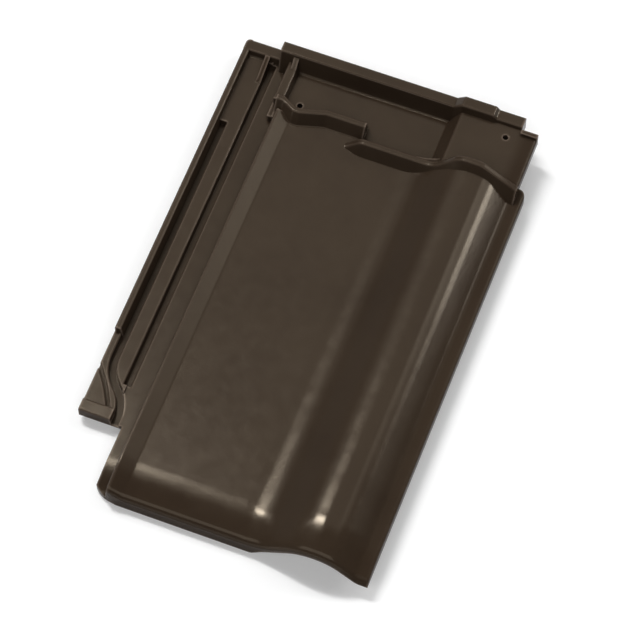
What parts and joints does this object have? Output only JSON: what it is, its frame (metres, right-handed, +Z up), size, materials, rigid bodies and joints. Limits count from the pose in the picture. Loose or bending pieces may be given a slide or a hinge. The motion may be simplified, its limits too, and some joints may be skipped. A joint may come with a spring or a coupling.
{
  "type": "clay roof tile",
  "caption": "Flat interlocking clay roof tile with a low roll, a side lock of rims and water channels, a head lock with weather ribs, hanging nibs and fixing holes.",
  "frame": {"origin": "centre of the tile's overall outline, on the floor that it lies on", "axes": "+X across the tile from the side lock to the roll, +Y from the nose to the head, +Z up out of the weather face"},
  "size_m": [0.294, 0.47, 0.0555],
  "materials": {
    "engobe": "dark brown satin engobe on fired clay"
  },
  "bodies": {
    "root": {"roof_tile": "engobe"}
  },
  "joints": []
}
